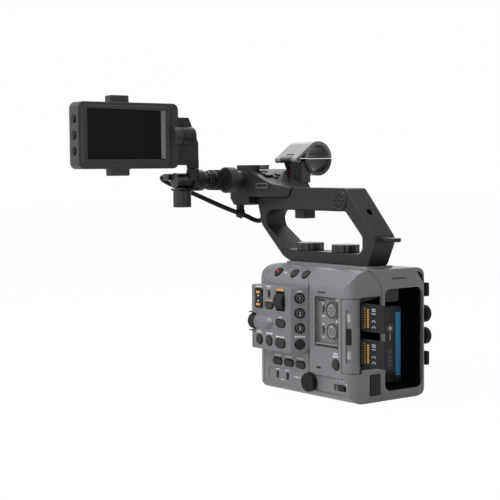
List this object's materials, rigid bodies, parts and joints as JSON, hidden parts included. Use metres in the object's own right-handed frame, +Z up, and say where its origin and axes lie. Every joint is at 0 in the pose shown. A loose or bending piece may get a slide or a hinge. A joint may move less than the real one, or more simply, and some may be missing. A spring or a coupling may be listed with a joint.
{
  "type": "digital cinema camera body with handle and monitor",
  "caption": "Boxy cinema camera body with a top handle, microphone ring and a small monitor on a jointed arm, battery and memory cards.",
  "frame": {"origin": "mouth of the 1/4 inch tripod thread in the underside", "axes": "+X is the operator's right, +Y runs out of the lens mount towards the scene, +Z is up"},
  "size_m": [0.257, 0.2686, 0.2736],
  "materials": {
    "casing_paint": "fine-grained satin grey paint on a cast metal casing",
    "block_paint": "fine-grained satin grey paint",
    "black_paint": "satin black with a fine grain",
    "black_moulding": "matt black",
    "dark_key": "matt dark grey with plain marks",
    "pale_key": "matt grey with plain marks",
    "steel": "turned steel",
    "sensor_glass": "dark coated glass over the sensor",
    "board": "green board with pale fins",
    "card_body": "matt black with coloured labels",
    "battery_body": "matt dark grey with a blue stripe",
    "rubber": "matt rubber",
    "clear_cover": "smoked clear plastic",
    "red_key": "red",
    "screen_glass": "glossy black glass",
    "dial_metal": "ribbed satin grey",
    "black_screw": "blackened steel"
  },
  "bodies": {
    "casing": {"left_shell": "casing_paint", "top_shell": "casing_paint", "rear_frame": "casing_paint", "front_plate": "casing_paint", "bottom_plate": "casing_paint", "bay_liner": "black_moulding", "lens_mount": "steel", "sensor_unit": "sensor_glass", "main_board": "board", "slot_unit": "black_moulding", "control_block": "block_paint", "port_covers": "rubber", "grip_rosette": "steel", "casing_screws": "black_screw", "handle_frame": "black_paint", "handle_head": "black_paint", "accessory_shoe": "steel", "audio_sockets": "dial_metal", "mic_bracket": "black_paint", "lcd_cable": "rubber", "lcd_plug": "black_moulding"},
    "arm": {"arm_base": "black_paint", "arm_rod": "black_paint"},
    "monitor": {"monitor_case": "black_paint", "monitor_screen": "screen_glass"},
    "lens_release": {"lens_release": "black_moulding"},
    "fan_rotor": {"fan_rotor": "black_moulding"},
    "card_a": {"card_a": "card_body"},
    "card_b": {"card_b": "card_body"},
    "media_door": {"media_door": "casing_paint"},
    "door_slider": {"door_slider": "black_moulding"},
    "battery": {"battery": "battery_body"},
    "release_lever": {"release_lever": "black_moulding"},
    "nd_wheel": {"nd_wheel": "dial_metal"},
    "function_dial": {"function_dial": "dial_metal"},
    "nd_rocker": {"nd_rocker": "black_moulding"},
    "block_keys": {"block_keys": "pale_key"},
    "assign_1": {"assign_1": "dark_key"},
    "assign_2": {"assign_2": "dark_key"},
    "assign_3": {"assign_3": "dark_key"},
    "display_button": {"display_button": "dark_key"},
    "side_keys": {"side_keys": "pale_key"},
    "slide_switches": {"slide_switches": "black_moulding"},
    "power_switch": {"power_switch": "black_moulding"},
    "audio_dial_1": {"audio_dial_1": "dial_metal"},
    "audio_dial_2": {"audio_dial_2": "dial_metal"},
    "audio_cover": {"audio_cover": "clear_cover"},
    "rec_button": {"rec_button": "dark_key"},
    "top_keys": {"top_keys": "dark_key"},
    "handle_screw_front": {"handle_screw_front": "black_moulding"},
    "handle_screw_rear": {"handle_screw_rear": "black_moulding"},
    "handle_rec_button": {"handle_rec_button": "red_key"},
    "zoom_rocker": {"zoom_rocker": "black_moulding"},
    "handle_keys": {"handle_keys": "dark_key"},
    "mic_lid": {"mic_lid": "black_paint"},
    "base_knob": {"base_knob": "black_moulding"},
    "rod_clamp": {"rod_clamp": "black_paint"},
    "clamp_knob": {"clamp_knob": "black_moulding"},
    "monitor_bracket": {"monitor_bracket": "black_paint"},
    "monitor_keys": {"monitor_keys": "dark_key"}
  },
  "joints": [
    {"name": "fan_spin", "type": "hinge", "parent": "casing", "child": "fan_rotor", "pos_m": [0.0339, 0.0214, 0.058], "axis": [1, 0, 0], "continuous": true},
    {"name": "battery_lift", "type": "slide", "parent": "casing", "child": "battery", "axis": [0, 0, 1], "range_m": [0, 0.006]},
    {"name": "card_a_slide", "type": "slide", "parent": "casing", "child": "card_a", "axis": [0, 1, 0], "range_m": [0, 0.027]},
    {"name": "card_b_slide", "type": "slide", "parent": "casing", "child": "card_b", "axis": [0, 1, 0], "range_m": [0, 0.027]},
    {"name": "media_door_hinge", "type": "hinge", "parent": "casing", "child": "media_door", "pos_m": [-0.03589, -0.0629, 0.0594], "axis": [0, 0, 1], "range_deg": [0, 100]},
    {"name": "door_slider_slide", "type": "slide", "parent": "media_door", "child": "door_slider", "axis": [0, 0, 1], "range_m": [-0.004, 0.004]},
    {"name": "release_lever_push", "type": "slide", "parent": "casing", "child": "release_lever", "axis": [0, 1, 0], "range_m": [0, 0.0015], "stiffness_N_per_m": 400, "springref_m": -0.001},
    {"name": "lens_release_push", "type": "slide", "parent": "casing", "child": "lens_release", "axis": [0, -1, 0], "range_m": [0, 0.002], "stiffness_N_per_m": 400, "springref_m": -0.001},
    {"name": "nd_wheel_turn", "type": "hinge", "parent": "casing", "child": "nd_wheel", "pos_m": [-0.0554, 0.0147, 0.08572], "axis": [0, 1, 0], "continuous": true},
    {"name": "function_dial_turn", "type": "hinge", "parent": "casing", "child": "function_dial", "pos_m": [-0.0554, 0.0507, 0.06466], "axis": [0, 1, 0], "continuous": true},
    {"name": "nd_rocker_tilt", "type": "hinge", "parent": "casing", "child": "nd_rocker", "pos_m": [-0.0614, 0.0462, 0.08661], "axis": [0, 1, 0], "range_deg": [-3, 3], "stiffness_Nm_per_rad": 0.05},
    {"name": "block_keys_push", "type": "slide", "parent": "casing", "child": "block_keys", "axis": [1, 0, 0], "range_m": [0, 0.0007], "stiffness_N_per_m": 600, "springref_m": -0.0008},
    {"name": "assign_1_push", "type": "slide", "parent": "casing", "child": "assign_1", "axis": [0.5952, 0.8036, 0], "range_m": [0, 0.0007], "stiffness_N_per_m": 600, "springref_m": -0.0008},
    {"name": "assign_2_push", "type": "slide", "parent": "casing", "child": "assign_2", "axis": [0.5952, 0.8036, 0], "range_m": [0, 0.0007], "stiffness_N_per_m": 600, "springref_m": -0.0008},
    {"name": "assign_3_push", "type": "slide", "parent": "casing", "child": "assign_3", "axis": [0.5952, 0.8036, 0], "range_m": [0, 0.0007], "stiffness_N_per_m": 600, "springref_m": -0.0008},
    {"name": "display_button_push", "type": "slide", "parent": "casing", "child": "display_button", "axis": [0.5952, 0.8036, 0], "range_m": [0, 0.0007], "stiffness_N_per_m": 600, "springref_m": -0.0008},
    {"name": "side_keys_push", "type": "slide", "parent": "casing", "child": "side_keys", "axis": [1, 0, 0], "range_m": [0, 0.0007], "stiffness_N_per_m": 600, "springref_m": -0.0008},
    {"name": "slide_switches_move", "type": "slide", "parent": "casing", "child": "slide_switches", "axis": [0, 0, 1], "range_m": [-0.0014, 0.0014]},
    {"name": "power_switch_move", "type": "slide", "parent": "casing", "child": "power_switch", "axis": [0, 1, 0], "range_m": [0, 0.003]},
    {"name": "audio_dial_1_turn", "type": "hinge", "parent": "casing", "child": "audio_dial_1", "pos_m": [-0.0419, -0.03744, 0.0805], "axis": [1, 0, 0], "range_deg": [-150, 150]},
    {"name": "audio_dial_2_turn", "type": "hinge", "parent": "casing", "child": "audio_dial_2", "pos_m": [-0.0419, -0.0377, 0.06183], "axis": [1, 0, 0], "range_deg": [-150, 150]},
    {"name": "audio_cover_hinge", "type": "hinge", "parent": "casing", "child": "audio_cover", "pos_m": [-0.0449, -0.03328, 0.05026], "axis": [0, -1, 0], "range_deg": [0, 95]},
    {"name": "rec_button_push", "type": "slide", "parent": "casing", "child": "rec_button", "axis": [0.7071, 0, -0.7071], "range_m": [0, 0.0007], "stiffness_N_per_m": 600, "springref_m": -0.0008},
    {"name": "top_keys_push", "type": "slide", "parent": "casing", "child": "top_keys", "axis": [0.7071, 0, -0.7071], "range_m": [0, 0.0007], "stiffness_N_per_m": 600, "springref_m": -0.0008},
    {"name": "front_screw_turn", "type": "hinge", "parent": "casing", "child": "handle_screw_front", "pos_m": [0, 0.04348, 0.1286], "axis": [0, 0, 1], "continuous": true},
    {"name": "rear_screw_turn", "type": "hinge", "parent": "casing", "child": "handle_screw_rear", "pos_m": [0, -0.00658, 0.1286], "axis": [0, 0, 1], "continuous": true},
    {"name": "handle_rec_push", "type": "slide", "parent": "casing", "child": "handle_rec_button", "axis": [0, 0.3751, -0.927], "range_m": [0, 0.0007], "stiffness_N_per_m": 600, "springref_m": -0.0008},
    {"name": "zoom_rocker_tilt", "type": "hinge", "parent": "casing", "child": "zoom_rocker", "pos_m": [-0.00952, 0.10011, 0.20018], "axis": [1, 0, 0], "range_deg": [-4, 4], "stiffness_Nm_per_rad": 0.05},
    {"name": "handle_keys_push", "type": "slide", "parent": "casing", "child": "handle_keys", "axis": [0, 0.3751, -0.927], "range_m": [0, 0.0007], "stiffness_N_per_m": 600, "springref_m": -0.0008},
    {"name": "mic_lid_hinge", "type": "hinge", "parent": "casing", "child": "mic_lid", "pos_m": [0.0126, 0.093, 0.21347], "axis": [0, -1, 0], "range_deg": [0, 110]},
    {"name": "base_knob_turn", "type": "hinge", "parent": "casing", "child": "base_knob", "pos_m": [-0.034, 0.12, 0.1946], "axis": [1, 0, 0], "range_deg": [-180, 0]},
    {"name": "arm_hinge", "type": "hinge", "parent": "casing", "child": "arm", "pos_m": [-0.031, 0.12, 0.1946], "axis": [1, 0, 0], "range_deg": [0, 40]},
    {"name": "clamp_slide", "type": "slide", "parent": "arm", "child": "rod_clamp", "axis": [1, 0, 0], "range_m": [-0.01, 0]},
    {"name": "clamp_knob_turn", "type": "hinge", "parent": "rod_clamp", "child": "clamp_knob", "pos_m": [-0.0773, 0.144, 0.177], "axis": [0, 0, 1], "range_deg": [-180, 180]},
    {"name": "monitor_swivel", "type": "hinge", "parent": "rod_clamp", "child": "monitor_bracket", "pos_m": [-0.068, 0.139, 0.206], "axis": [0, 0, 1], "range_deg": [-90, 90]},
    {"name": "monitor_tilt", "type": "hinge", "parent": "monitor_bracket", "child": "monitor", "pos_m": [-0.092, 0.1244, 0.2368], "axis": [1, 0, 0], "range_deg": [-90, 90]},
    {"name": "monitor_keys_push", "type": "slide", "parent": "monitor", "child": "monitor_keys", "axis": [1, 0, 0], "range_m": [0, 0.0007], "stiffness_N_per_m": 600, "springref_m": -0.0008}
  ]
}
